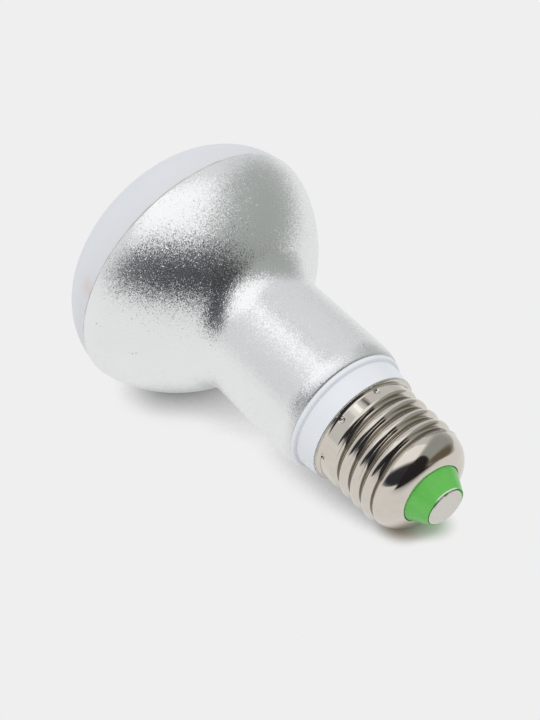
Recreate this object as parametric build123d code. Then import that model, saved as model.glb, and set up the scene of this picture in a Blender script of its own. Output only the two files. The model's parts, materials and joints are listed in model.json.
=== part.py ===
"""Reflector bulb with a screw cap: six pieces turned about one axis.

Millimetres. Z is the axis of the bulb. The origin is the centre of the contact's end face,
and +Z runs from the cap to the diffuser. The front of the bulb faces -Y. The bulb is sealed,
so the housing and the diffuser stay solid inside.
"""
import os
from math import acos, cos, radians, sin, sqrt

from build123d import *

# Centre contact
contact_diameter = 9.5
contact_thickness = 0.5
contact_edge_radius = 0.2
contact_stem_diameter = 3.0
contact_stem_length = 4.0

# Cap insulator
insulator_tip_diameter = 10.2
insulator_base_diameter = 14.6
insulator_height = 4.9
insulator_flange_width = 1.6

# Screw shell
shell_height = 21.8
shell_wall = 0.4
shell_bore_diameter = 23.2
shell_end_diameter = 25.0
shell_end_flat = 0.3
skirt_diameter = 25.9
skirt_height = 3.25
rim_diameter = 27.5
rim_thickness = 0.35
rim_edge_radius = 0.12
rim_flare_height = 0.6
rim_flare_radius = 0.75

# Rolled round thread of the screw shell: a helical groove between rounded crests
thread_pitch = 3.62
thread_crest_diameter = 26.1
thread_root_diameter = 24.0
thread_below_corner = 0.28
thread_start_angle = -180.0
thread_fade_angle = 120.0
thread_land_drop = 0.035
thread_land_rise = 0.018
thread_run_in = 0.7

# Crimps punched round the skirt
crimp_count = 8
crimp_diameter = 1.3
crimp_depth = 0.3
crimp_below_rim = 1.45
crimp_first_angle = -53.0

# Base collar
barrel_height = 5.0
barrel_low_diameter = 27.9
bead_set_back = 0.15
bead_depth = 0.85
bead_height = 1.1
bead_radius = 0.8
spigot_length = 6.0

# Housing
neck_length = 30.9
neck_end_diameter = 31.0
neck_low_diameter = 32.4
neck_top_diameter = 31.2
neck_wall = 1.6
nose_length = 4.4
neck_edge_radius = 0.7
neck_root_radius = 9.5
bowl_height = 21.8
shoulder_radius = 17.0
shoulder_sweep = 17.9
seam_lean = 5.3
head_diameter = 63.0
head_edge_radius = 0.25

# Diffuser
diffuser_set_back = 0.3
diffuser_height = 16.6
knuckle_radius = 15.7
knuckle_drop = 0.5
register_diameter = 59.6
register_depth = 3.0

# Fits
seat_clearance = 0.1
depth_clearance = 0.2
cutter_stand_out = 0.6

# Heights along the axis, from the contact up
insulator_tip_z = contact_thickness
shell_end_z = insulator_tip_z + insulator_height
shell_top_z = shell_end_z + shell_height
barrel_top_z = shell_top_z + barrel_height
neck_end_z = barrel_top_z + bead_height
neck_top_z = neck_end_z + neck_length
seam_z = neck_top_z + bowl_height

# Inside of the shell: its bore runs down to a rounded corner and a flat end wall
bore_r = shell_bore_diameter / 2
corner_r = insulator_base_diameter / 2 + shell_end_flat
shell_corner_radius = shell_end_diameter / 2 - corner_r
corner_z = shell_end_z + shell_corner_radius
inner_corner_radius = shell_corner_radius - shell_wall
bore_low_z = corner_z - sqrt(inner_corner_radius ** 2 - (bore_r - corner_r) ** 2)
core_end_z = bore_low_z + depth_clearance

# Outside of the shell: the groove's full depth runs from the corner to below the skirt
rim_low_z = shell_top_z - rim_thickness
flare_z = rim_low_z - rim_flare_height
groove_low_z = corner_z - thread_below_corner
groove_high_z = flare_z - skirt_height
groove_turns = (groove_high_z - groove_low_z) / thread_pitch


def turned(*outline):
    """Turn a closed outline, drawn as (radius, height), once round the Z axis."""
    return revolve(make_face(Plane.XZ * (Curve() + outline)), axis=Axis.Z)


def ring_edge(part, radius, height):
    """The circular edge of a turned part that lies nearest to this radius and height."""
    rings = part.edges().filter_by(GeomType.CIRCLE)
    return rings.sort_by(lambda ring: abs(ring.radius - radius) + abs(ring.center().Z - height))[0]


def make_contact():
    """A flat button with a rivet stem, which seats on the insulator's tip."""
    head_r = contact_diameter / 2
    stem_r = contact_stem_diameter / 2
    stem_top = contact_thickness + contact_stem_length
    button = turned(Polyline(
        (0, 0), (head_r, 0), (head_r, contact_thickness), (stem_r, contact_thickness),
        (stem_r, stem_top), (0, stem_top), close=True,
    ))
    return fillet(ring_edge(button, head_r, 0), contact_edge_radius)


def make_insulator():
    """A cone that stands out of the shell's end and is held by a flange inside it."""
    tip_r = insulator_tip_diameter / 2
    base_r = insulator_base_diameter / 2
    hole_r = contact_stem_diameter / 2 + seat_clearance
    hole_top = insulator_tip_z + contact_stem_length + depth_clearance
    seat_z = shell_end_z + shell_wall
    flange_r = base_r + insulator_flange_width
    past_flat = max(0.0, flange_r - corner_r)
    flange_low_z = corner_z - sqrt(inner_corner_radius ** 2 - past_flat ** 2)
    return turned(Polyline(
        (hole_r, insulator_tip_z), (tip_r, insulator_tip_z), (base_r, shell_end_z), (base_r, seat_z),
        (flange_r, flange_low_z), (flange_r, core_end_z), (0, core_end_z),
        (0, hole_top), (hole_r, hole_top), close=True,
    ))


def thread_groove(lift=0.0):
    """Section of the thread's groove, lifted out of the metal by this much.

    The root and the two crests are arcs of one radius that meet at half depth. The crest
    arcs run a little way out of the metal and stop there, so that they leave a narrow land
    and one turn of the groove never meets the next.
    """
    crest_r = thread_crest_diameter / 2 + lift
    depth = (thread_crest_diameter - thread_root_diameter) / 2 + thread_land_drop
    half_pitch = thread_pitch / 2
    arc = (half_pitch ** 2 + depth ** 2) / (4 * depth)
    land_r = crest_r + thread_land_rise
    land_z = half_pitch - arc * sin(acos(1 - (thread_land_drop - thread_land_rise) / arc))
    middle_r = crest_r + thread_land_drop - depth / 2
    low, high = (land_r, -land_z), (land_r, land_z)
    low_middle, high_middle = (middle_r, -half_pitch / 2), (middle_r, half_pitch / 2)
    outside_r = crest_r + cutter_stand_out
    outline = [
        RadiusArc(low, low_middle, -arc),
        RadiusArc(low_middle, high_middle, arc),
        RadiusArc(high_middle, high, -arc),
        Polyline(high, (outside_r, land_z), (outside_r, -land_z), low),
    ]
    return make_face(Plane.XZ * (Curve() + outline))


def cut_thread(blank):
    """Cut the helical groove, which fades out of the metal at both ends."""
    crest_r = thread_crest_diameter / 2
    lift = crest_r - thread_root_diameter / 2 + seat_clearance
    fade_rise = thread_pitch * thread_fade_angle / 360

    def on_helix(turns):
        height = groove_low_z + turns * thread_pitch
        return Location((0, 0, height), (0, 0, thread_start_angle + 360 * turns))

    def fade(first_lift, last_lift):
        last = Location((0, 0, fade_rise), (0, 0, thread_fade_angle)) * thread_groove(last_lift)
        path = Helix(thread_pitch, fade_rise, crest_r)
        return sweep([thread_groove(first_lift), last], path=path, multisection=True, is_frenet=True)

    path = Helix(thread_pitch, groove_high_z - groove_low_z, crest_r)
    groove = sweep(thread_groove(), path=path, is_frenet=True)
    blank -= on_helix(0) * groove
    blank -= on_helix(groove_turns) * fade(0, lift)
    blank -= on_helix(-thread_fade_angle / 360) * fade(lift, 0)
    return blank


def make_shell():
    """A drawn metal cup with a rolled round thread, a flared rim and punched crimps."""
    hole_r = insulator_base_diameter / 2
    end_r = shell_end_diameter / 2
    crest_r = thread_crest_diameter / 2
    skirt_r = skirt_diameter / 2
    rim_r = rim_diameter / 2
    inner_end_z = shell_end_z + shell_wall
    crest_low_z = corner_z + thread_run_in
    crest_high_z = groove_high_z + thread_run_in
    shell = turned(
        Line((hole_r, shell_end_z), (corner_r, shell_end_z)),
        RadiusArc((corner_r, shell_end_z), (end_r, corner_z), -shell_corner_radius),
        Polyline((end_r, corner_z), (crest_r, crest_low_z), (crest_r, crest_high_z), (skirt_r, flare_z)),
        RadiusArc((skirt_r, flare_z), (rim_r, rim_low_z), rim_flare_radius),
        Polyline((rim_r, rim_low_z), (rim_r, shell_top_z), (bore_r, shell_top_z), (bore_r, bore_low_z)),
        RadiusArc((bore_r, bore_low_z), (corner_r, inner_end_z), inner_corner_radius),
        Polyline((corner_r, inner_end_z), (hole_r, inner_end_z), (hole_r, shell_end_z)),
    )
    shell = fillet(ring_edge(shell, rim_r, shell_top_z), rim_edge_radius)
    shell = cut_thread(shell)
    punch_r = skirt_r - crimp_depth + crimp_diameter / 2
    for place in PolarLocations(punch_r, crimp_count, crimp_first_angle):
        shell -= Pos(0, 0, shell_top_z - crimp_below_rim) * place * Sphere(crimp_diameter / 2)
    return shell


def make_collar():
    """A moulded collar: core in the shell, barrel, bead under the housing, spigot in its neck."""
    core_r = bore_r - seat_clearance
    low_r = barrel_low_diameter / 2
    bead_r = neck_end_diameter / 2 - bead_set_back
    high_r = bead_r - bead_depth
    spigot_r = neck_end_diameter / 2 - neck_wall - seat_clearance
    spigot_top = neck_end_z + spigot_length
    collar = turned(Polyline(
        (0, core_end_z), (core_r, core_end_z), (core_r, shell_top_z), (low_r, shell_top_z),
        (high_r, barrel_top_z), (bead_r, barrel_top_z), (bead_r, neck_end_z), (spigot_r, neck_end_z),
        (spigot_r, spigot_top), (0, spigot_top), close=True,
    ))
    return fillet(ring_edge(collar, bead_r, barrel_top_z), bead_radius)


def make_housing():
    """A bowl on a slightly tapered neck, with a bore for the collar and a recess for the diffuser.

    The bowl is a tight shoulder arc under the seam that runs into a wider arc down to the neck,
    and the neck's end draws in along a nose arc.
    """
    end_r = neck_end_diameter / 2
    top_r = neck_top_diameter / 2
    head_r = head_diameter / 2
    bore = end_r - neck_wall
    bore_top = neck_end_z + spigot_length + depth_clearance
    recess = register_diameter / 2 + seat_clearance
    recess_z = seam_z - register_depth - depth_clearance
    neck = Line((neck_low_diameter / 2, neck_end_z + nose_length), (top_r, neck_top_z))
    nose = TangentArc(neck @ 0, (end_r, neck_end_z), tangent=neck % 0 * -1)
    down_and_in = (-sin(radians(seam_lean)), -cos(radians(seam_lean)))
    shoulder = JernArc((head_r, seam_z), down_and_in, shoulder_radius, -shoulder_sweep)
    bowl = TangentArc(shoulder @ 1, (top_r, neck_top_z), tangent=shoulder % 1)
    housing = turned(
        Polyline((0, bore_top), (bore, bore_top), (bore, neck_end_z), (end_r, neck_end_z)),
        nose, neck, bowl, shoulder,
        Polyline((head_r, seam_z), (recess, seam_z), (recess, recess_z), (0, recess_z), (0, bore_top)),
    )
    housing = fillet(ring_edge(housing, top_r, neck_top_z), neck_root_radius)
    housing = fillet(ring_edge(housing, end_r, neck_end_z), neck_edge_radius)
    return fillet(ring_edge(housing, head_r, seam_z), head_edge_radius)


def make_diffuser():
    """A flat dome: a knuckle arc runs into a crown arc, over a register that plugs into the housing."""
    base_r = head_diameter / 2 - diffuser_set_back
    register_r = register_diameter / 2
    register_z = seam_z - register_depth
    apex_z = seam_z + diffuser_height
    knuckle_r = base_r - sqrt(knuckle_radius ** 2 - knuckle_drop ** 2)
    knuckle_z = seam_z - knuckle_drop
    rise = apex_z - knuckle_z
    crown_radius = (knuckle_r ** 2 + rise ** 2 - knuckle_radius ** 2) / (2 * (rise - knuckle_radius))
    share = knuckle_radius / (crown_radius - knuckle_radius)
    crown_z = apex_z - crown_radius
    meet = (knuckle_r * (1 + share), knuckle_z + (knuckle_z - crown_z) * share)
    return turned(
        Polyline((0, register_z), (register_r, register_z), (register_r, seam_z), (base_r, seam_z)),
        RadiusArc((base_r, seam_z), meet, -knuckle_radius),
        RadiusArc(meet, (0, apex_z), -crown_radius),
        Line((0, apex_z), (0, register_z)),
    )


pieces = {
    "centre_contact": make_contact,
    "cap_insulator": make_insulator,
    "screw_shell": make_shell,
    "base_collar": make_collar,
    "housing": make_housing,
    "diffuser": make_diffuser,
}

os.makedirs("parts", exist_ok=True)
for node, make in pieces.items():
    export_step(make(), f"parts/{node}.step")
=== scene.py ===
# %% [markdown]
# # A reflector bulb on a white table
# The bulb is a sealed lamp: an opal dome, a silver bowl with a straight neck, a white collar and a nickel
# screw cap with a green insulator and a flat contact at its end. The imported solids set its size, and this
# lesson gives the finishes, the fine sheet-metal forms and the studio. All lengths below are millimetres
# until they meet Blender, which works in metres.

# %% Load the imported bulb
import json
import math

import bpy
import numpy as np
from mathutils import Matrix, Vector


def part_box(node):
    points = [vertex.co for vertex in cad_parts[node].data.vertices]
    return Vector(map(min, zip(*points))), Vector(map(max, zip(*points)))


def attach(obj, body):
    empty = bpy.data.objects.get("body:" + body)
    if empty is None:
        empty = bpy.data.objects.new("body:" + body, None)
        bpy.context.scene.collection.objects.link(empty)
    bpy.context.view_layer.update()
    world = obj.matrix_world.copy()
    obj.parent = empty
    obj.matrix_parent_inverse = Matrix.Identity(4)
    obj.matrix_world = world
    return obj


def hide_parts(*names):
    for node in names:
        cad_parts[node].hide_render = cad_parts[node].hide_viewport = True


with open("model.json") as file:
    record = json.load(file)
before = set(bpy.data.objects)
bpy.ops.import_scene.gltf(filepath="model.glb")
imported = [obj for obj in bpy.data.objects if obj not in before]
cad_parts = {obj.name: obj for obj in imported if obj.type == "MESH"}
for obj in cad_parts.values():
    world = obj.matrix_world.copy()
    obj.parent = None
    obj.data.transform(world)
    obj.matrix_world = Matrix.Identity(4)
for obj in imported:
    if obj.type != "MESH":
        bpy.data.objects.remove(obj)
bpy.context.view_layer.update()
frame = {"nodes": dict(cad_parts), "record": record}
nodes = frame["nodes"]
MM = 0.001

# %% [markdown]
# ## Small helpers
# Colours are written as the hex values that a paint chart would give. Shaders work on linear light, so one
# function turns a hex value into linear numbers. A second one adds any node, with its settings and its
# links, so that a finish reads from top to bottom like a recipe. The other two start a finish and put it on
# a piece.

# %% Colour, node and finish helpers


def linear(hex_colour):
    """An sRGB hex colour as linear RGBA.

    Each part c is c / 12.92 up to 0.04045, else ((c + 0.055) / 1.055) to the power 2.4.
    """
    srgb = np.array([int(hex_colour[i:i + 2], 16) for i in (1, 3, 5)]) / 255
    rgb = np.where(srgb <= 0.04045, srgb / 12.92, ((srgb + 0.055) / 1.055) ** 2.4)
    return (*rgb.tolist(), 1.0)


def node(tree, kind, inputs=None, **settings):
    """Adds one node. settings go on the node, and inputs on its sockets, each a value or another socket."""
    new = tree.nodes.new("ShaderNode" + kind)
    for name, value in settings.items():
        setattr(new, name, value)
    for name, value in (inputs or {}).items():
        if isinstance(value, bpy.types.NodeSocket):
            tree.links.new(value, new.inputs[name])
        else:
            new.inputs[name].default_value = value
    return new


def finish_named(name):
    """A new material with an empty node tree and its output node."""
    material = bpy.data.materials.new(name)
    material.use_nodes = True
    material.node_tree.nodes.clear()
    return material, material.node_tree, node(material.node_tree, "OutputMaterial")


def dress(piece, material):
    """Puts a finish on a piece, in place of the one it has, and prints what it is made of."""
    if piece.data.materials:
        piece.data.materials[0] = material
    else:
        piece.data.materials.append(material)
    print(piece.name, "has", material.name, "with", len(material.node_tree.nodes), "nodes")


print("white #EFEFEF in linear light is", round(linear("#EFEFEF")[0], 3))

# %% [markdown]
# ## How the bulb lies and where the camera stands
# The bulb can't stand on its small contact, so it lies on its side, on the rim of the head and on the
# lowest crest of the thread. Those two circles, one wide and one narrow, give the tilt of the table. The
# bulb keeps its own frame, with its axis along Z, so here the table leans instead of the bulb. Between the
# two circles the bowl bulges a little past a straight line, so the table lies that much lower. The camera
# looks down on the table at 33 degrees, without a sideways lean, through a long lens.

# %% Table and camera
IMAGE_HEIGHT = 720
SENSOR = 36.0
FOCAL_PIXELS = 2856.8
CAMERA_PLACE = Vector((0.0, -552.35, -251.32)) * MM
AIM_POINT = Vector((-3.21, 0.0, 55.57)) * MM
TABLE_TURN = math.radians(-51.18)
CREST_ABOVE_END = 6.2 * MM
BULGE = 0.23 * MM

head_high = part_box("housing")[1]
thread_radius = frame["record"]["mounts"][0]["dims"]["r_mm"] * MM
first_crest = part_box("screw_shell")[0].z + CREST_ABOVE_END
tilt = math.atan((head_high.x - thread_radius) / (head_high.z - first_crest))
table_up = Vector((
    math.cos(TABLE_TURN) * math.cos(tilt), math.sin(TABLE_TURN) * math.cos(tilt), math.sin(tilt)))
table_level = first_crest * math.sin(tilt) - thread_radius * math.cos(tilt) - BULGE

look = (AIM_POINT - CAMERA_PLACE).normalized()
to_right = look.cross(table_up).normalized()
to_front = table_up.cross(to_right).normalized() * -1

camera = bpy.data.objects.new("camera", bpy.data.cameras.new("camera"))
bpy.context.scene.collection.objects.link(camera)
camera.matrix_world = Matrix.Translation(CAMERA_PLACE) @ Matrix(
    (to_right, to_right.cross(look), -look)).transposed().to_4x4()
camera.data.sensor_width = SENSOR
camera.data.lens = FOCAL_PIXELS / IMAGE_HEIGHT * SENSOR
camera.data.clip_end = 100
bpy.context.scene.camera = camera
print("tilt", round(math.degrees(tilt), 2), "table level", round(table_level / MM, 2))
print("lens", round(camera.data.lens, 1))
print("looking down at", round(math.degrees(math.asin(-look.dot(table_up))), 1), "degrees")

# %% [markdown]
# ## Flat pieces of the studio
# The table and the cards round it are flat sheets. It is easiest to place them as a photographer would: so
# far to the right, to the front and above the table. One function turns that into the bulb's frame, and
# another makes a sheet from its centre and its two half sides.

# %% Places and sheets


def table_place(right, front, up):
    """A point of the bulb's frame, given in millimetres to the right, to the front and above the table.

    It counts from the foot of the contact's end: level times up, plus each length times its way.
    """
    return (table_up * table_level) + (to_right * right + to_front * front + table_up * up) * MM


def flat_piece(name, centre, half_a, half_b):
    """A flat rectangle: centre plus u times half_a plus v times half_b, for u and v from -1 to 1."""
    u, v = np.array([[-1, 1, 1, -1], [-1, -1, 1, 1]])
    places = np.array(centre) + np.outer(u, half_a) + np.outer(v, half_b)
    mesh = bpy.data.meshes.new(name)
    mesh.from_pydata([tuple(table_place(*place)) for place in places], [], [(0, 1, 2, 3)])
    mesh.uv_layers.new(name="UVMap").data.foreach_set("uv", np.stack([u, v], 1).ravel().astype(np.float32))
    piece = bpy.data.objects.new(name, mesh)
    bpy.context.scene.collection.objects.link(piece)
    return piece


print("the foot of the contact's end is at", [round(x / MM, 1) for x in table_place(0, 0, 0)])

# %% [markdown]
# ## The white table
# The table is white paper, lit so strongly that only the shade close to the bulb still shows. A plain matt
# floor would be lit unevenly by the softbox. So the camera and the reflections see an even white instead,
# dimmed where the bulb hides the sky, which the Ambient Occlusion node measures. It looks a little to the
# left and the front, so the shade is lighter on that side of the bulb. Reflections see only part of that
# shade. Near the cap, the paper carries painted shade, tinted brown and green for light bounced from the
# nickel and from the insulator. The table is clear from underneath.

# %% White table
PAPER_WHITE = "#EFEFEF"
TABLE_HALF = 20000
SHADOW_REACH, SHADOW_LEAN = 15.0, math.radians(20)
LIGHT_FRONT, LIGHT_LEFT = 0.5, 0.87
OVEREXPOSED = 2.35
SHADE_IN_MIRRORS = 0.6
SHADE_TINT_EDGE = 0.8
# Painted shade near the cap: darker paper tints, each a colour, a place and a reach in millimetres.
SHADE_TINTS = [("#A59C8D", (-8.3, -6.6, 0), 7.5), ("#A9B8A3", (-3.2, -7.6, 0), 7.4)]

table = flat_piece("table", (0, 0, 0), (TABLE_HALF, 0, 0), (0, -TABLE_HALF, 0))
material, tree, output = finish_named("white_table")
path = node(tree, "LightPath").outputs
seen = node(tree, "Math", {0: path["Is Camera Ray"], 1: path["Is Glossy Ray"]}, operation="MAXIMUM")
seen = node(tree, "Math", {0: seen.outputs[0], 1: path["Is Transmission Ray"]}, operation="MAXIMUM")
light_side = to_front * LIGHT_FRONT - to_right * LIGHT_LEFT
brightest = table_up * math.cos(SHADOW_LEAN) + light_side * math.sin(SHADOW_LEAN)
sky = node(tree, "AmbientOcclusion", {"Distance": SHADOW_REACH * MM, "Normal": brightest}, samples=16)
shade = node(tree, "Math", {0: sky.outputs["AO"], 1: OVEREXPOSED}, operation="MULTIPLY", use_clamp=True)
least = node(tree, "Math", {0: path["Is Glossy Ray"], 1: SHADE_IN_MIRRORS}, operation="MULTIPLY")
shade = node(tree, "Math", {0: shade.outputs[0], 1: least.outputs[0]}, operation="MAXIMUM")
where = node(tree, "TexCoord").outputs["Object"]
tone = linear(PAPER_WHITE)
# Each tint darkens the paper round its place: painted shade, tinted for bounced light.
for colour, place, reach in SHADE_TINTS:
    near = node(tree, "Mapping", {
        "Vector": where, "Location": table_place(*place), "Scale": (reach * MM,) * 3},
        vector_type="TEXTURE")
    near = node(tree, "TexGradient", {"Vector": near.outputs[0]}, gradient_type="SPHERICAL")
    near = node(tree, "MapRange", {
        "Value": near.outputs["Fac"], "From Max": SHADE_TINT_EDGE}, interpolation_type="SMOOTHSTEP")
    tone = node(tree, "Mix", {0: near.outputs[0], 6: tone, 7: linear(colour)}, data_type="RGBA").outputs[2]
paper = node(tree, "Emission", {"Color": tone, "Strength": shade.outputs[0]})
matt = node(tree, "BsdfDiffuse", {"Color": linear(PAPER_WHITE)})
front = node(tree, "MixShader", {0: seen.outputs[0], 1: matt.outputs[0], 2: paper.outputs[0]})
under = node(tree, "NewGeometry").outputs["Backfacing"]
clear = node(tree, "BsdfTransparent")
one_way = node(tree, "MixShader", {0: under, 1: front.outputs[0], 2: clear.outputs[0]})
tree.links.new(one_way.outputs[0], output.inputs["Surface"])
dress(table, material)

# %% [markdown]
# ## Cards for the reflections
# Bare metal is a picture of the room, so the room matters more than the lamps. Every dark or bright patch
# on the silver and the nickel is something that stands round the bulb: the dark room behind the camera, a
# grey wall to the right, dark and brown things near the cap, strips overhead. Each is a soft-edged card
# which only reflections see, so that the light on the table stays even.

# %% Cards


def soft_card(name, centre, half_a, half_b, colour, softness, strength=1.0):
    """A card that only reflections see: an ellipse of one colour which fades out towards its edge."""
    piece = flat_piece(name, centre, half_a, half_b)
    material, tree, output = finish_named(name)
    uv = node(tree, "TexCoord").outputs["UV"]
    reach = node(tree, "TexGradient", {"Vector": uv}, gradient_type="SPHERICAL")
    cover = node(tree, "MapRange", {
        "Value": reach.outputs["Fac"], "From Max": softness}, interpolation_type="SMOOTHSTEP")
    cloth = node(tree, "Emission", {"Color": linear(colour), "Strength": strength})
    clear = node(tree, "BsdfTransparent")
    edge = node(tree, "MixShader", {0: cover.outputs[0], 1: clear.outputs[0], 2: cloth.outputs[0]})
    tree.links.new(edge.outputs[0], output.inputs["Surface"])
    dress(piece, material)
    piece.visible_camera = False
    piece.visible_diffuse = False
    piece.visible_shadow = False


# The dark room makes the dark band of the bowl, and the black lines and the black patch of the cap.
soft_card("dark_card", (20, 246, 110), (660, 0, 0), (0, 0, 215), "#36383F", 0.58)
# The grey wall makes the grey right side of the bowl and of the thread.
soft_card("grey_card", (390, 271, 292), (0, 1402, 0), (0, 0, 569), "#A2A6A3", 0.59)
# A dark mat and a dark flag draw the edges of the black patch and more dark lines on the thread.
soft_card("dark_mat", (77, 66, 0.3), (122, 0, 0), (0, 63, 0), "#262528", 0.75)
soft_card("dark_flag", (40, 64, -15), (68, 0, 0), (36, 0, 140), "#2B292A", 0.15)
# A brown flag makes the brown patch in the cap's end and brown lines on the thread.
soft_card("brown_flag", (88, 6, 23), (0, 84, 0), (0, 0, 36), "#6F6554", 0.62)
# A bright and a dim strip overhead make the streaks along the neck and the skirt.
soft_card("white_strip", (-278, -90, 600), (-27, 84, 0), (-76, -25, 0), "#FFFFFF", 0.6, 1.55)
soft_card("dark_strip", (-109, -162, 600), (-54, 37, 0), (-21, -32, 0), "#55524F", 0.6)

# %% [markdown]
# ## Softbox and room
# One large softbox hangs over the table, a little towards the camera, and gives the bright area of the
# bowl. The rest of the room is pale and lights the bulb from all sides. An area light's power is given in
# watts for its whole face, so it is worked out from a brightness: that times pi times the area, as for a
# matt face.

# %% Softbox and room
SOFTBOX_WIDTH, SOFTBOX_DEPTH = 3.75, 3.15
SOFTBOX_PLACE = table_place(40, 1118, 2000)
SOFTBOX_RADIANCE = 0.35
ROOM_COLOUR = "#DBDCDD"

softbox = bpy.data.objects.new("softbox", bpy.data.lights.new("softbox", "AREA"))
bpy.context.scene.collection.objects.link(softbox)
softbox.data.shape = "RECTANGLE"
softbox.data.size = SOFTBOX_WIDTH
softbox.data.size_y = SOFTBOX_DEPTH
softbox.data.energy = SOFTBOX_RADIANCE * math.pi * SOFTBOX_WIDTH * SOFTBOX_DEPTH
softbox_axis = (SOFTBOX_PLACE - AIM_POINT).normalized()
softbox_side = to_right.cross(softbox_axis).normalized()
softbox.matrix_world = Matrix.Translation(SOFTBOX_PLACE) @ Matrix(
    (softbox_side.cross(softbox_axis), softbox_side, softbox_axis)).transposed().to_4x4()
softbox.visible_camera = False

room = bpy.data.worlds.new("pale_room")
room.use_nodes = True
room.node_tree.nodes["Background"].inputs["Color"].default_value = linear(ROOM_COLOUR)
room.cycles.sampling_method = "NONE"
bpy.context.scene.world = room
bpy.context.scene.view_settings.view_transform = "Standard"
print("softbox at", [round(x, 2) for x in SOFTBOX_PLACE], "with", round(softbox.data.energy, 2), "watts")

# %% [markdown]
# ## Turned and rolled skins
# The bowl is spun, the cap is drawn and rolled, and its insulator is moulded, but all of them are round, so
# each is a line drawn in the half-plane of radius and height and swept round the axis. The screw shell
# differs only in that its radius also depends on the angle. All of them are grids of points, covered with
# quads in one go. The lines are made of straight stretches and arcs. They stay a little off the axis, where
# quads would shrink to nothing.

# %% Surface helpers
AXIS_R = 0.1


def heading(start, end):
    """Direction in degrees from one point to another: the angle whose tangent is rise over run."""
    return math.degrees(math.atan2(end[1] - start[1], end[0] - start[0]))


def arc(centre, radius, first, last, count):
    """Points of an arc in the (r, z) half-plane: centre plus radius times (cos, sin) of even angles."""
    angle = np.radians(np.linspace(first, last, count))
    return np.array(centre) + radius * np.stack([np.cos(angle), np.sin(angle)], 1)


def arc_centre(start, way, end):
    """Centre of the arc that leaves start along a unit way and runs through end.

    It lies across the way, as far off as the chord squared over twice the chord's part across the way.
    """
    across = np.array([-way[1], way[0]])
    chord = np.subtract(end, start)
    return start + across * (chord @ chord) / (2 * (across @ chord))


def swept(radius, height, columns):
    """Places round the axis: (r cos a, r sin a, z), for rows of r and z and one column for each angle a."""
    angle = np.linspace(0, 2 * np.pi, columns, endpoint=False)
    radius, height, angle = np.broadcast_arrays(radius, height, angle)
    return np.stack([radius * np.cos(angle), radius * np.sin(angle), height], -1)


def skin(name, places, closed, replaces=None):
    """Covers rows and columns of places with quads, each from a point to the next column and row.

    The columns close round the axis. The rows close too where the outline is a ring, and otherwise the
    first and the last row are capped with one flat face.
    """
    index = np.arange(places.shape[0] * places.shape[1]).reshape(places.shape[:2])
    low, high = (index, np.roll(index, -1, 0)) if closed else (index[:-1], index[1:])
    quads = np.stack([low, np.roll(low, -1, 1), np.roll(high, -1, 1), high], -1).reshape(-1, 4).tolist()
    caps = [] if closed else [index[0, ::-1].tolist(), index[-1].tolist()]
    mesh = bpy.data.meshes.new(name)
    mesh.from_pydata((places.reshape(-1, 3) * MM).tolist(), [], quads + caps)
    mesh.shade_smooth()
    piece = bpy.data.objects.new(name, mesh)
    bpy.context.scene.collection.objects.link(piece)
    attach(piece, "root")
    if replaces:
        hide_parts(replaces)
    made = [places.min((0, 1)).round(2).tolist(), places.max((0, 1)).round(2).tolist()]
    packed = [[round(x / MM, 2) for x in c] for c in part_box(replaces or "housing")]
    print(name, "has", len(mesh.polygons), "faces and the box", made)
    print("the packed", replaces or "housing", "has the box", packed)
    return piece


print("skins start", AXIS_R, "mm off the axis")

# %% [markdown]
# ## The bowl and the neck
# The bowl is spun from thin sheet: its end draws in to a nose, the neck runs up with a slight taper, a wide
# bend turns it out, and two arcs make the bowl up to a rounded edge at the seam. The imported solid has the
# same outline, but it is cut into flat facets, and a satin surface shows every crease between them. Swept
# again from its own arcs in fine steps, it reflects without a break. Each arc's centre follows from the
# sizes: a rounding's centre lies one radius away from both of the lines that it joins.

# %% Centres of the bowl's arcs
NECK_END, NOSE_TOP = np.array([15.5, 33.3]), np.array([16.2, 37.7])
NECK_TOP, HEAD_RIM = np.array([15.6, 64.2]), np.array([31.5, 86.0])
NECK_EDGE, NECK_BEND, SHOULDER, HEAD_EDGE = 0.7, 9.5, 17.0, 0.25
SEAM_LEAN, SHOULDER_SWEEP = math.radians(5.3), math.radians(17.9)

neck_way = (NECK_TOP - NOSE_TOP) / math.dist(NECK_TOP, NOSE_TOP)
neck_out = np.array([neck_way[1], -neck_way[0]])
nose = arc_centre(NOSE_TOP, -neck_way, NECK_END)
nose_radius = math.dist(nose, NOSE_TOP)
edge_z = NECK_END[1] + NECK_EDGE
edge = np.array([nose[0] + math.sqrt((nose_radius - NECK_EDGE) ** 2 - (edge_z - nose[1]) ** 2), edge_z])

shoulder = HEAD_RIM - SHOULDER * np.array([math.cos(SEAM_LEAN), -math.sin(SEAM_LEAN)])
low = -SEAM_LEAN - SHOULDER_SWEEP
shoulder_low = shoulder + SHOULDER * np.array([math.cos(low), math.sin(low)])
bowl = arc_centre(shoulder_low, np.array([math.sin(low), -math.cos(low)]), NECK_TOP)
bowl_radius = math.dist(bowl, NECK_TOP)
rim_z = HEAD_RIM[1] - HEAD_EDGE
rim = np.array([shoulder[0] + math.sqrt((SHOULDER - HEAD_EDGE) ** 2 - (rim_z - shoulder[1]) ** 2), rim_z])

beside_neck = NOSE_TOP + NECK_BEND * neck_out - bowl
along = beside_neck @ neck_way
climb = -along - math.sqrt(along ** 2 - beside_neck @ beside_neck + (bowl_radius + NECK_BEND) ** 2)
bend = bowl + beside_neck + climb * neck_way
print("nose", nose.round(3), "bend", bend.round(3), "bowl", bowl.round(3), "radius", round(bowl_radius, 3))

# %% [markdown]
# ## Sweeping the bowl
# The outline runs up the outside from the neck's end to the seam, and comes back through the recess that
# takes the dome and the bore that takes the collar. It is a closed ring, so the skin has no open edge.

# %% Bowl and neck
BORE_R, BORE_TOP, RECESS_R, RECESS_Z = 13.9, 39.5, 29.9, 82.8
# This point keeps the smooth shading of the rounded edge off the flat end.
END_R = 14.9

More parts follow.
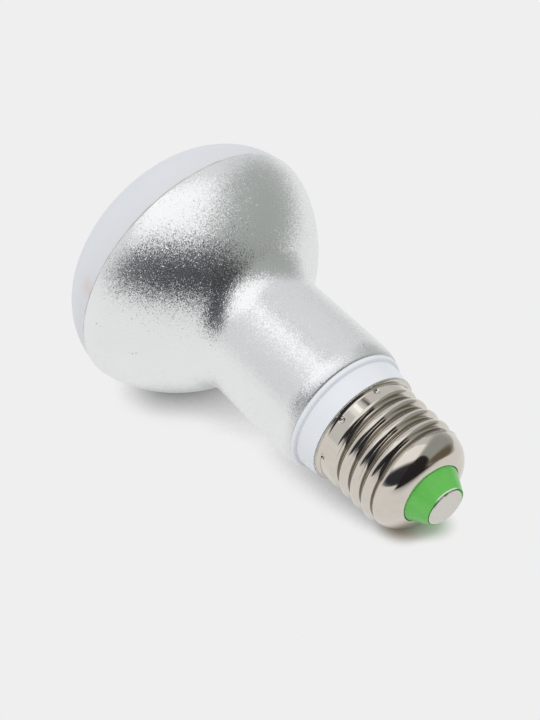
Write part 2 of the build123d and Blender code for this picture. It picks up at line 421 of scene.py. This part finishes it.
spun = np.concatenate([
    [[BORE_R, NECK_END[1]], [END_R, NECK_END[1]]],
    arc(edge, NECK_EDGE, -90, heading(nose, edge), 9),
    arc(nose, nose_radius, heading(nose, edge), heading(nose, NOSE_TOP), 14)[1:],
    np.linspace(NOSE_TOP, bend - NECK_BEND * neck_out, 24)[1:],
    arc(bend, NECK_BEND, heading(neck_out, (0, 0)) % 360, heading(bend, bowl), 30)[1:],
    arc(bowl, bowl_radius, heading(bowl, bend), heading(bowl, shoulder_low), 42)[1:],
    arc(shoulder, SHOULDER, heading(shoulder, shoulder_low), heading(shoulder, rim), 20)[1:],
    arc(rim, HEAD_EDGE, heading(shoulder, rim), 90, 8)[1:],
    [[RECESS_R, HEAD_RIM[1]], [RECESS_R, RECESS_Z], [AXIS_R, RECESS_Z]],
    [[AXIS_R, BORE_TOP], [BORE_R, BORE_TOP]]])
housing = skin("spun_bowl", swept(spun[:, :1], spun[:, 1:], 360), True, "housing")

# %% [markdown]
# ## The rolled thread
# The shell is a cup drawn from thin sheet and plated with nickel. Rollers press a round right-hand groove
# into it, which runs out of the metal at both ends, and a punch crimps the skirt to the collar with small
# round dimples. A modelling program could sweep the groove along a helix, but a rolled thread is simpler as
# a radius: for each angle and height, find the nearest turn of the groove, and take the smaller of the
# blank's radius and the groove's. The dimples are pressed in the same way.

# %% Thread and dimples
CREST, ROOT, PITCH = 13.05, 12.0, 3.62
GROOVE_LOW, GROOVE_HIGH, GROOVE_START, GROOVE_FADE = 10.02, 23.0, -np.pi, 1 / 3
GROOVE_TURNS = (GROOVE_HIGH - GROOVE_LOW) / PITCH
PAST_CREST = 0.1
SKIRT = 12.95
DIMPLES, DIMPLE_FIRST, DIMPLE_Z, DIMPLE_R, DIMPLE_DEPTH = 8, math.radians(-53), 25.7, 0.7, 0.55


def rolled_radius(angle, height):
    """Radius of the groove's surface: a root arc and two crest arcs of one bend, which meet at half depth.

    The nearest turn is the one whose height differs least. Past either end the groove lifts out of
    the metal.
    """
    half, depth = PITCH / 2, CREST - ROOT
    bend = (half ** 2 + depth ** 2) / (4 * depth)
    turns_up = (height - GROOVE_LOW) / PITCH
    part_turn = ((angle - GROOVE_START) / (2 * np.pi)) % 1.0
    turn = np.round(turns_up - part_turn) + part_turn
    off = np.abs(turns_up - turn) * PITCH
    root = ROOT + bend - np.sqrt(bend ** 2 - np.minimum(off, half / 2) ** 2)
    crest = CREST - bend + np.sqrt(bend ** 2 - np.minimum(half - off, half / 2) ** 2)
    past_end = np.maximum(np.maximum(-turn, turn - GROOVE_TURNS), 0)
    return np.where(off < half / 2, root, crest) + past_end / GROOVE_FADE * (depth + PAST_CREST)


def dimple_radius(angle, height):
    """Radius of the punch's ball where it presses in: its centre's radius less half the chord there."""
    step = 2 * np.pi / DIMPLES
    along = ((angle - DIMPLE_FIRST + step / 2) % step - step / 2) * SKIRT
    chord = DIMPLE_R ** 2 - along ** 2 - (height - DIMPLE_Z) ** 2
    return np.where(chord > 0, SKIRT - DIMPLE_DEPTH + DIMPLE_R - np.sqrt(np.maximum(chord, 0)), np.inf)


print("the groove makes", round(GROOVE_TURNS, 2), "turns and is", round(CREST - ROOT, 2), "mm deep")

# %% [markdown]
# ## The screw shell
# The blank is the cup before it is rolled. Its end is one arc, which starts parallel to the axis and closes
# on the insulator with a thin lip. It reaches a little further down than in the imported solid, as on the
# real cap. Its wall is nearly straight, and its top spreads through a second arc into a flange with a fine
# slot under the collar. That arc has a known radius and two known ends, so its centre lies off the middle
# of their chord by the root of the radius squared less the half chord squared. The rows lie close together
# along the wall, because the thread is pressed into them.

# %% Screw shell
RIM, BORE, HOLE, CORNER = 13.75, 11.6, 7.72, 12.5
END_Z, BORE_Z, CORNER_Z, CREST_Z, SKIRT_Z, FLARE_Z, TOP_Z = 4.73, 8.5, 10.3, 11.0, 23.7, 26.25, 27.2
SHEET, RIM_DEPTH, RIM_EDGE, SLOT, FLARE = 0.4, 0.35, 0.1, 0.18, 0.75
SLOT_R, SLOT_TOP_R, TOP_EDGE = 13.05, 13.0, 0.1
INSIDE_FIRST, INSIDE_LAST = -27, -80
LIP_STEPS = np.array([[-0.12, 0.18], [-0.08, 0.04]])
CUP_ROWS, SHELL_COLUMNS = 24, 400

cup = arc_centre((CORNER, CORNER_Z), (0, -1), (HOLE, END_Z))
cup_radius = CORNER - cup[0]
wall_z = np.concatenate([np.linspace(CORNER_Z, SKIRT_Z, 150)[1:], np.linspace(SKIRT_Z, FLARE_Z, 24)[1:]])
wall_r = np.interp(wall_z, [CORNER_Z, CREST_Z, SKIRT_Z, FLARE_Z], [CORNER, CREST, CREST, SKIRT])
flare_low, flare_high = np.array([SKIRT, FLARE_Z]), np.array([RIM, TOP_Z - RIM_DEPTH])
half = (flare_high - flare_low) / 2
flare = flare_low + half + np.array([half[1], -half[0]]) * math.sqrt(FLARE ** 2 / (half @ half) - 1)
outline = np.concatenate([
    np.array([HOLE, END_Z]) + LIP_STEPS,
    arc(cup, cup_radius, heading(cup, (HOLE, END_Z)), 0, CUP_ROWS),
    np.stack([wall_r, wall_z], 1),
    arc(flare, FLARE, heading(flare, flare_low), heading(flare, flare_high), 9)[1:],
    arc((RIM - RIM_EDGE, TOP_Z - SLOT - RIM_EDGE), RIM_EDGE, 0, 90, 6),
    [[SLOT_R, TOP_Z - SLOT], [SLOT_TOP_R, TOP_Z]],
    [[BORE, TOP_Z], [BORE, TOP_Z - TOP_EDGE], [BORE, BORE_Z]],
    arc(cup, cup_radius - SHEET, INSIDE_FIRST, INSIDE_LAST, 6)])
turn_angle = np.linspace(0, 2 * np.pi, SHELL_COLUMNS, endpoint=False)
blank_r, blank_z = outline[:, :1], outline[:, 1:]
pressed = np.minimum(rolled_radius(turn_angle, blank_z), dimple_radius(turn_angle, blank_z))
outside = (np.arange(len(outline)) < len(LIP_STEPS) + CUP_ROWS + len(wall_z))[:, None]
shell_r = np.where(outside, np.minimum(blank_r, pressed), blank_r)
places = swept(shell_r, blank_z, SHELL_COLUMNS)
screw_shell = skin("rolled_screw_shell", places, True, "screw_shell")

# %% [markdown]
# ## The insulator
# The insulator is a moulded cone in the cap's end, with a fine lip round its tip and a pocket for the
# contact's stem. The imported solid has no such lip, so it is made only here. The flange is hidden in the
# shell. It is one outline swept round the axis.

# %% Insulator
POCKET_R, POCKET_TOP, SEAT_R, SEAT_Z = 1.6, 4.7, 4.78, 0.5
TIP_R, TIP_LIP_R, TIP_LIP_Z, TIP_LIP, LIP_FOOT = 5.17, 4.97, 0.4, 0.18, [4.79, 0.42]
CONE_R, CONE_BASE_R, CONE_BASE_Z = 7.48, 7.5, 5.8
FLANGE_R, FLANGE_Z, FLANGE_TOP = 8.9, 6.1, 8.43

cone = np.concatenate([
    [[AXIS_R, POCKET_TOP], [POCKET_R, POCKET_TOP], [POCKET_R, SEAT_Z], [SEAT_R, SEAT_Z], LIP_FOOT],
    arc((TIP_LIP_R, TIP_LIP_Z), TIP_LIP, 180, 350, 11),
    np.linspace([TIP_R, SEAT_Z], [CONE_R, END_Z], 12),
    [[CONE_BASE_R, CONE_BASE_Z], [FLANGE_R, FLANGE_Z], [FLANGE_R, FLANGE_TOP], [AXIS_R, FLANGE_TOP]]])
places = swept(cone[:, :1], cone[:, 1:], 200)
insulator = skin("moulded_cone", places, False, "cap_insulator")

# %% [markdown]
# ## The contact
# The contact is a plated button, riveted into the insulator by its stem. The press leaves its edge uneven,
# so a dark gap of changing width shows round it, with two narrow nicks. It is swept like the insulator,
# with its edge pulled in by a few bumps and a fine ripple. A bump is its depth times e to the power of
# minus x to the fourth, where x is the angle from its middle over its reach, so it is flat in the middle
# and steep at its ends.

# %% Contact
FACE_R, BUTTON_R, BUTTON_EDGE, EDGE_REACH = 4.5, 4.75, 0.2, 0.65
STEM_R, STEM_TOP = 1.5, 4.5
# Each bump is the angle of its middle and its reach, both in degrees, and its depth.
BUMPS = np.array([[-110, 36, 0.13], [8, 30, 0.17], [-66, 2.4, 0.5], [-60, 1.6, 0.4], [150, 25, 0.1]])
RIPPLE, RIPPLE_WAVES = 0.012, (29, 47)

button = np.concatenate([
    np.linspace([AXIS_R, 0.0], [FACE_R, 0.0], 10),
    arc((BUTTON_R - BUTTON_EDGE, BUTTON_EDGE), BUTTON_EDGE, -90, 0, 8),
    [[BUTTON_R, SEAT_Z], [STEM_R, SEAT_Z], [STEM_R, STEM_TOP], [AXIS_R, STEM_TOP]]])
edge_angle = np.linspace(0, 2 * np.pi, 360, endpoint=False)
bump_angle, bump_reach, bump_depth = BUMPS.T
apart = (np.degrees(edge_angle)[:, None] - bump_angle + 180) % 360 - 180
gap = (bump_depth * np.exp(-(apart / bump_reach) ** 4)).sum(1)
gap += RIPPLE * (1 + np.sin(np.outer(RIPPLE_WAVES, edge_angle)).prod(0))
pull = np.clip((button[:, :1] - (BUTTON_R - BUTTON_EDGE - EDGE_REACH)) / EDGE_REACH, 0, 1) * gap
places = swept(button[:, :1] - pull, button[:, 1:], 360)
contact = skin("pressed_button", places, False, "centre_contact")

# %% [markdown]
# ## The seam
# The dome is glued into the bowl. A fine line of brownish sealant squeezes out of the joint, thicker in
# some places than in others. It is a thin ring whose section is a circle with a radius that wanders along
# the seam.

# %% Sealant line
SEAM_R, SEAM_Z = 31.22, 86.05
OOZE, OOZE_SLOW, OOZE_FINE = 0.13, 0.05, 0.03

seam_angle = np.linspace(0, 2 * np.pi, 720, endpoint=False)
slow = np.sin(5 * seam_angle + 0.4) * np.sin(13 * seam_angle)
ooze = OOZE + OOZE_SLOW * slow + OOZE_FINE * np.sin(41 * seam_angle)
section = np.radians(np.linspace(0, 360, 10, endpoint=False))[:, None]
ring = swept(SEAM_R + ooze * np.cos(section), SEAM_Z + ooze * np.sin(section), 720)
sealant = skin("sealant_line", ring, True)

# %% [markdown]
# ## Sprayed silver lacquer
# The bowl and the neck carry a sprayed lacquer full of aluminium flakes. The flakes lie nearly flat, each
# at its own small slant, so where the reflection changes from pale to dark the surface breaks up into
# grains, and where it is even the grains vanish. A noise bump would do this softly. Here each flake is a
# cell with its own random slant, which keeps the grain crisp. Real flakes are a few hundredths of a
# millimetre wide, too fine to show, so they are drawn as coarse as the picture needs. About three in ten
# lie steeper than the rest. A few specks of dust have settled in the lacquer, a few nicks show where it was
# knocked, and at the neck's end the spray went on dry and dull.

# %% Lacquer on the bowl
FLAKE_SIZE, FLAKE_SLANT, STEEP_SHARE = 0.18, 0.17, 0.3
# The specks' core and edge are shares of their spacing.
DUST_SPACING, DUST_CORE, DUST_EDGE = 6.0, 0.015, 0.03
CLOUD_SIZE = 9.0
NICK_CORE, NICK_EDGE = 0.1, 0.32
NICKS = [(-23.69, -19.68, 82.54), (-23.4, -19.2, 81.6), (-23.07, -13.25, 74.43), (-22.4, -13.3, 73.8),
         (13.16, -9.35, 36.36)]
DRY_FROM_Z, DRY_TO_Z, SATIN, DRY = 35.6, 33.8, 0.28, 0.5


def sprayed_silver():
    """Bright metal with one slant for each flake: the normal plus a random vector, made unit length."""
    material, tree, output = finish_named("sprayed_silver_lacquer")
    where = node(tree, "TexCoord").outputs["Object"]
    flakes = node(tree, "TexVoronoi", {"Vector": where, "Scale": 1 / (FLAKE_SIZE * MM)})
    slant = node(tree, "VectorMath", {0: flakes.outputs["Color"], 1: (0.5, 0.5, 0.5)}, operation="SUBTRACT")
    chance = node(tree, "TexWhiteNoise", {"Vector": flakes.outputs["Position"]})
    steep = node(tree, "MapRange", {
        "Value": chance.outputs["Value"], "From Min": 1 - STEEP_SHARE,
        "To Min": FLAKE_SLANT, "To Max": 3 * FLAKE_SLANT})
    slant = node(tree, "VectorMath", {0: slant.outputs[0], "Scale": steep.outputs[0]}, operation="SCALE")
    flat = node(tree, "NewGeometry").outputs["Normal"]
    facing = node(tree, "VectorMath", {0: flat, 1: slant.outputs[0]}, operation="ADD")
    facing = node(tree, "VectorMath", {0: facing.outputs[0]}, operation="NORMALIZE")
    cloud = node(tree, "TexNoise", {"Vector": where, "Scale": 1 / (CLOUD_SIZE * MM), "Detail": 3.0})
    metal = node(tree, "Mix", {
        0: cloud.outputs["Fac"], 6: linear("#F0F2F2"), 7: linear("#F6F7F7")}, data_type="RGBA")
    dust_and_corner_shade = node(tree, "TexVoronoi", {"Vector": where, "Scale": 1 / (DUST_SPACING * MM)})
    clean = node(tree, "MapRange", {
        "Value": dust_and_corner_shade.outputs["Distance"], "From Min": DUST_CORE, "From Max": DUST_EDGE})
    metal = node(tree, "Mix", {
        0: clean.outputs[0], 6: linear("#C4C8CE"), 7: metal.outputs[2]}, data_type="RGBA")
    nearest = 1.0
    for place in NICKS:
        apart = node(tree, "VectorMath", {0: where, 1: [x * MM for x in place]}, operation="DISTANCE")
        nearest = node(tree, "Math", {
            0: apart.outputs["Value"], 1: nearest}, operation="MINIMUM").outputs[0]
    whole = node(tree, "MapRange", {
        "Value": nearest, "From Min": NICK_CORE * MM, "From Max": NICK_EDGE * MM, "To Min": 0.5})
    metal = node(tree, "Mix", {
        0: whole.outputs[0], 6: linear("#7E8288"), 7: metal.outputs[2]}, data_type="RGBA")
    height = node(tree, "SeparateXYZ", {0: where}).outputs["Z"]
    dry = node(tree, "MapRange", {
        "Value": height, "From Min": DRY_FROM_Z * MM, "From Max": DRY_TO_Z * MM,
        "To Min": SATIN, "To Max": DRY})
    paint = node(tree, "BsdfPrincipled", {
        "Base Color": metal.outputs[2], "Metallic": 1.0, "Roughness": dry.outputs[0],
        "Normal": facing.outputs[0]})
    tree.links.new(paint.outputs[0], output.inputs["Surface"])
    return material


dress(housing, sprayed_silver())

# %% [markdown]
# ## Opal plastic
# The dome is moulded from milky polycarbonate. Light spreads inside it, so it looks even and slightly blue,
# with a soft sheen. Real scattering would take many samples to show the same even tone, so a plain surface
# with slow clouds stands in for it. Near the glued seam it takes on a faint warm tint, and one small spot
# by the seam is stained.

# %% Opal dome
# Real pores are far finer than this, and are drawn as coarse as they need to show.
MILK_SIZE, PORE_SIZE = 16.0, 0.7
TINT_FROM_Z, TINT_TO_Z = 93.0, 85.5
STAIN_PLACE, STAIN_REACH = (-19.28 * MM, -24.33 * MM, 87.73 * MM), 3.5 * MM


def opal_plastic():
    """Two near-white tones in slow clouds, warmer by the seam and in one round spot, with a satin sheen."""
    material, tree, output = finish_named("moulded_opal_polycarbonate")
    where = node(tree, "TexCoord").outputs["Object"]
    cloud = node(tree, "TexNoise", {"Vector": where, "Scale": 1 / (MILK_SIZE * MM), "Detail": 2.0})
    milk = node(tree, "Mix", {
        0: cloud.outputs["Fac"], 6: linear("#EDF0F8"), 7: linear("#F3F5F9")}, data_type="RGBA")
    height = node(tree, "SeparateXYZ", {0: where}).outputs["Z"]
    near_seam = node(tree, "MapRange", {
        "Value": height, "From Min": TINT_FROM_Z * MM, "From Max": TINT_TO_Z * MM, "To Max": 0.55})
    milk = node(tree, "Mix", {
        0: near_seam.outputs[0], 6: milk.outputs[2], 7: linear("#E6E3E4")}, data_type="RGBA")
    spot = node(tree, "Mapping", {
        "Vector": where, "Location": STAIN_PLACE, "Scale": (STAIN_REACH,) * 3}, vector_type="TEXTURE")
    spot = node(tree, "TexGradient", {"Vector": spot.outputs[0]}, gradient_type="SPHERICAL")
    stain = node(tree, "MapRange", {
        "Value": spot.outputs["Fac"], "To Max": 0.6}, interpolation_type="SMOOTHSTEP")
    milk = node(tree, "Mix", {
        0: stain.outputs[0], 6: milk.outputs[2], 7: linear("#EBD9D2")}, data_type="RGBA")
    pores = node(tree, "TexNoise", {"Vector": where, "Scale": 1 / (PORE_SIZE * MM), "Detail": 2.0})
    satin = node(tree, "Bump", {"Height": pores.outputs["Fac"], "Strength": 0.25, "Distance": 0.02 * MM})
    plastic = node(tree, "BsdfPrincipled", {
        "Base Color": milk.outputs[2], "Roughness": 0.42, "Normal": satin.outputs[0]})
    tree.links.new(plastic.outputs[0], output.inputs["Surface"])
    return material


dress(nodes["diffuser"], opal_plastic())

# %% [markdown]
# ## White collar
# The collar is moulded from white polyester with a polished tool, so it is glossy, with the slight waviness
# that plastic keeps as it cools. The corner under its bead carries painted shade, a narrow grey band at
# that height.

# %% Collar finish
WAVE_SIZE = 5.0
# The grey band in the corner under the bead is painted shade.
BEAD_CORNER_Z, CORNER_SHADE_REACH = 32.25, 0.4


def glossy_white():
    """Cool white in faint clouds, painted shade at one height, a sharp sheen and a shallow surface wave."""
    material, tree, output = finish_named("polished_white_polyester")
    where = node(tree, "TexCoord").outputs["Object"]
    cloud = node(tree, "TexNoise", {"Vector": where, "Scale": 1 / (WAVE_SIZE * MM), "Detail": 3.0})
    white = node(tree, "Mix", {
        0: cloud.outputs["Fac"], 6: linear("#F3F6FB"), 7: linear("#F9FBFE")}, data_type="RGBA")
    height = node(tree, "SeparateXYZ", {0: where}).outputs["Z"]
    # Painted shade: a grey band at the height of the corner under the bead.
    off_corner = node(tree, "Math", {0: height, 1: BEAD_CORNER_Z * MM}, operation="SUBTRACT")
    off_corner = node(tree, "Math", {0: off_corner.outputs[0]}, operation="ABSOLUTE")
    dust_and_corner_shade = node(tree, "MapRange", {
        "Value": off_corner.outputs[0], "From Min": CORNER_SHADE_REACH * MM, "From Max": 0.0, "To Max": 0.4},
        interpolation_type="SMOOTHSTEP")
    white = node(tree, "Mix", {
        0: dust_and_corner_shade.outputs[0], 6: white.outputs[2], 7: linear("#C9CEDA")}, data_type="RGBA")
    gloss = node(tree, "MapRange", {"Value": cloud.outputs["Fac"], "To Min": 0.16, "To Max": 0.30})
    wave = node(tree, "Bump", {"Height": cloud.outputs["Fac"], "Strength": 0.3, "Distance": 0.03 * MM})
    plastic = node(tree, "BsdfPrincipled", {
        "Base Color": white.outputs[2], "Roughness": gloss.outputs[0], "Normal": wave.outputs[0]})
    tree.links.new(plastic.outputs[0], output.inputs["Surface"])
    return material


dress(nodes["base_collar"], glossy_white())

# %% [markdown]
# ## Nickel plate
# Nickel is a slightly warm mirror. Drawing the cup leaves fine lines along its axis, which still show on
# the skirt. The rollers leave fine rings round the thread, and the plating is cloudy here and there. The
# bottom of the groove carries a dark brown painted shade. The lines are noise that is stretched along the
# axis, the rings are noise that depends on radius and height, and the painted shade is found by its
# radius: above the cup's round end, only the root of the thread lies that close to the axis.

# %% Shell finish
# Real drawing lines are finer, and are drawn about as wide as a pixel of the picture, so that they show.
LINE_WIDTH, LINE_LENGTH = 0.25, 9.0
RING_STEP, RING_WIDTH, RING_LENGTH = 0.3, 0.8, 14.0
PLATING_SIZE = 3.0
# The root of the groove is painted dark brown: painted shade.
ROOT_SHADE_LOW, ROOT_SHADE_HIGH, ROOT_SHADE_FROM_Z = ROOT + 0.02, ROOT + 0.12, 9.2
SKIRT_FADE, ROUND_FADE = (23.2, 24.0), (10.6, 9.8)


def nickel_plate():
    """A warm metal: streaks on the skirt, rings on the thread, painted brown shade at the groove's root."""
    material, tree, output = finish_named("bright_nickel_on_drawn_brass")
    where = node(tree, "TexCoord").outputs["Object"]
    parts = node(tree, "SeparateXYZ", {0: where}).outputs
    height = parts["Z"]
    across = node(tree, "VectorMath", {0: where, 1: (1, 1, 0)}, operation="MULTIPLY")
    radius = node(tree, "VectorMath", {0: across.outputs[0]}, operation="LENGTH").outputs["Value"]
    drawn = node(tree, "Mapping", {
        "Vector": where, "Scale": (1 / (LINE_WIDTH * MM), 1 / (LINE_WIDTH * MM), 1 / (LINE_LENGTH * MM))})
    drawn = node(tree, "TexNoise", {"Vector": drawn.outputs[0], "Scale": 1.0, "Detail": 2.0})
    rolled = node(tree, "CombineXYZ", {"X": radius, "Y": height, "Z": parts["X"]})
    rolled = node(tree, "Mapping", {
        "Vector": rolled.outputs[0],
        "Scale": (1 / (RING_STEP * MM), 1 / (RING_WIDTH * MM), 1 / (RING_LENGTH * MM))})
    rolled = node(tree, "TexNoise", {"Vector": rolled.outputs[0], "Scale": 1.0, "Detail": 1.0})
    on_skirt = node(tree, "MapRange", {
        "Value": height, "From Min": SKIRT_FADE[0] * MM, "From Max": SKIRT_FADE[1] * MM}).outputs[0]
    on_end = node(tree, "MapRange", {
        "Value": height, "From Min": ROUND_FADE[0] * MM, "From Max": ROUND_FADE[1] * MM}).outputs[0]
    cloud = node(tree, "TexNoise", {
        "Vector": where, "Scale": 1 / (PLATING_SIZE * MM), "Detail": 4.0, "Roughness": 0.6})
    # Painted shade: the root of the groove turns dark brown, above the cup's round end.
    above_end = node(tree, "Math", {0: height, 1: ROOT_SHADE_FROM_Z * MM}, operation="GREATER_THAN")
    root_shade = node(tree, "MapRange", {
        "Value": radius, "From Min": ROOT_SHADE_HIGH * MM, "From Max": ROOT_SHADE_LOW * MM,
        "To Max": above_end.outputs[0]}, interpolation_type="SMOOTHSTEP")
    plate = node(tree, "Mix", {
        0: cloud.outputs["Fac"], 6: linear("#CFC8BE"), 7: linear("#DFD9D0")}, data_type="RGBA")
    plate = node(tree, "Mix", {
        0: root_shade.outputs[0], 6: plate.outputs[2], 7: linear("#6B6154")}, data_type="RGBA")
    dull = node(tree, "MapRange", {
        "Value": drawn.outputs["Fac"], "From Min": 0.35, "From Max": 0.7, "To Min": 0.08, "To Max": 0.17})
    dull = node(tree, "MapRange", {"Value": on_skirt, "To Min": 0.1, "To Max": dull.outputs[0]})
    on_thread = node(tree, "MapRange", {"Value": on_skirt, "To Min": 1.0, "To Max": 0.0})
    on_thread = node(tree, "MapRange", {"Value": on_end, "To Min": on_thread.outputs[0], "To Max": 0.0})
    rings = node(tree, "Bump", {
        "Height": rolled.outputs["Fac"], "Strength": on_thread.outputs[0], "Distance": 0.06 * MM})
    ridges = node(tree, "Bump", {
        "Height": drawn.outputs["Fac"], "Strength": on_skirt, "Distance": 0.007 * MM,
        "Normal": rings.outputs[0]})
    metal = node(tree, "BsdfPrincipled", {
        "Base Color": plate.outputs[2], "Metallic": 1.0, "Roughness": dull.outputs[0],
        "Normal": ridges.outputs[0]})
    tree.links.new(metal.outputs[0], output.inputs["Surface"])
    return material


dress(screw_shell, nickel_plate())

# %% [markdown]
# ## Green insulator
# The cone is a glossy green polymer with faint flow marks along its length. On the side that faces the
# camera, the lip round the tip carries a pale painted highlight. The flow marks are stretched noise,
# and the painted highlight is a soft round spot that counts only at the lip's height.

# %% Insulator finish
FLOW_WIDTH, FLOW_LENGTH = 1.5, 7.0
# A pale painted highlight on the lip round the tip, on the side that faces the camera.
LIP_HIGHLIGHT_PLACE, LIP_HIGHLIGHT_REACH = (2.5 * MM, -4.33 * MM, 0.3 * MM), 3.4 * MM
LIP_HIGHLIGHT_FROM_Z, LIP_HIGHLIGHT_TO_Z = 0.46, 0.40


def green_polymer():
    """A leaf green drifting in long flow marks, with a pale painted highlight on its lip, evenly glossy."""
    material, tree, output = finish_named("moulded_green_polymer")
    where = node(tree, "TexCoord").outputs["Object"]
    flow = node(tree, "Mapping", {
        "Vector": where, "Scale": (1 / (FLOW_WIDTH * MM), 1 / (FLOW_WIDTH * MM), 1 / (FLOW_LENGTH * MM))})
    marks = node(tree, "TexNoise", {"Vector": flow.outputs[0], "Scale": 1.0, "Detail": 3.0})
    green = node(tree, "Mix", {
        0: marks.outputs["Fac"], 6: linear("#63C650"), 7: linear("#76D064")}, data_type="RGBA")
    # Painted highlight: the lip turns pale green inside a round spot.
    lip_highlight = node(tree, "Mapping", {
        "Vector": where, "Location": LIP_HIGHLIGHT_PLACE, "Scale": (LIP_HIGHLIGHT_REACH,) * 3}, vector_type="TEXTURE")
    lip_highlight = node(tree, "TexGradient", {"Vector": lip_highlight.outputs[0]}, gradient_type="SPHERICAL")
    height = node(tree, "SeparateXYZ", {0: where}).outputs["Z"]
    lip_highlight = node(tree, "MapRange", {
        "Value": height, "From Min": LIP_HIGHLIGHT_FROM_Z * MM, "From Max": LIP_HIGHLIGHT_TO_Z * MM,
        "To Max": lip_highlight.outputs["Fac"]})
    lip_highlight = node(tree, "MapRange", {"Value": lip_highlight.outputs[0], "From Max": 0.3})
    green = node(tree, "Mix", {
        0: lip_highlight.outputs[0], 6: green.outputs[2], 7: linear("#DDF3D6")}, data_type="RGBA")
    wave = node(tree, "Bump", {"Height": marks.outputs["Fac"], "Strength": 0.2, "Distance": 0.03 * MM})
    plastic = node(tree, "BsdfPrincipled", {
        "Base Color": green.outputs[2], "Roughness": 0.26, "Normal": wave.outputs[0]})
    tree.links.new(plastic.outputs[0], output.inputs["Surface"])
    return material


dress(insulator, green_polymer())

# %% [markdown]
# ## Worn contact
# The contact is nickel again, but dull from handling, with fine scratches one way and a few dark pits. The
# scratches are noise stretched along one direction. The pits are the middles of scattered cells.

# %% Contact finish
SCRATCH_WIDTH, SCRATCH_LENGTH, SCRATCH_TURN = 0.12, 4.0, 0.6
PIT_SPACING = 1.6


def handled_nickel():
    """A dull warm metal with fine scratches one way and a few dark pits."""
    material, tree, output = finish_named("handled_nickel_button")
    where = node(tree, "TexCoord").outputs["Object"]
    along = node(tree, "Mapping", {
        "Vector": where, "Rotation": (0, 0, SCRATCH_TURN),
        "Scale": (1 / (SCRATCH_WIDTH * MM), 1 / (SCRATCH_LENGTH * MM), 1 / (SCRATCH_WIDTH * MM))})
    scratches = node(tree, "TexNoise", {"Vector": along.outputs[0], "Scale": 1.0, "Detail": 2.0})
    pits = node(tree, "TexVoronoi", {"Vector": where, "Scale": 1 / (PIT_SPACING * MM)})
    whole = node(tree, "MapRange", {"Value": pits.outputs["Distance"], "From Min": 0.06, "From Max": 0.1})
    plate = node(tree, "Mix", {
        0: scratches.outputs["Fac"], 6: linear("#D3CFC8"), 7: linear("#DEDBD4")}, data_type="RGBA")
    plate = node(tree, "Mix", {
        0: whole.outputs[0], 6: linear("#857A70"), 7: plate.outputs[2]}, data_type="RGBA")
    ridges = node(tree, "Bump", {
        "Height": scratches.outputs["Fac"], "Strength": 0.3, "Distance": 0.01 * MM})
    metal = node(tree, "BsdfPrincipled", {
        "Base Color": plate.outputs[2], "Metallic": 1.0, "Roughness": 0.24, "Normal": ridges.outputs[0]})
    tree.links.new(metal.outputs[0], output.inputs["Surface"])
    return material


dress(contact, handled_nickel())

# %% [markdown]
# ## Sealant
# The sealant is a brownish silicone rubber, paler in some places than in others. Its tone is noise that
# drifts slowly along the seam.

# %% Sealant finish
SEALANT_DRIFT = 5.0


def brown_silicone():
    """A soft brownish grey which drifts along the seam."""
    material, tree, output = finish_named("brown_silicone")
    where = node(tree, "TexCoord").outputs["Object"]
    cloud = node(tree, "TexNoise", {"Vector": where, "Scale": 1 / (SEALANT_DRIFT * MM), "Detail": 3.0})
    tone = node(tree, "Mix", {
        0: cloud.outputs["Fac"], 6: linear("#A7958A"), 7: linear("#D2CBC6")}, data_type="RGBA")
    rubber = node(tree, "BsdfPrincipled", {"Base Color": tone.outputs[2], "Roughness": 0.45})
    tree.links.new(rubber.outputs[0], output.inputs["Surface"])
    return material


dress(sealant, brown_silicone())
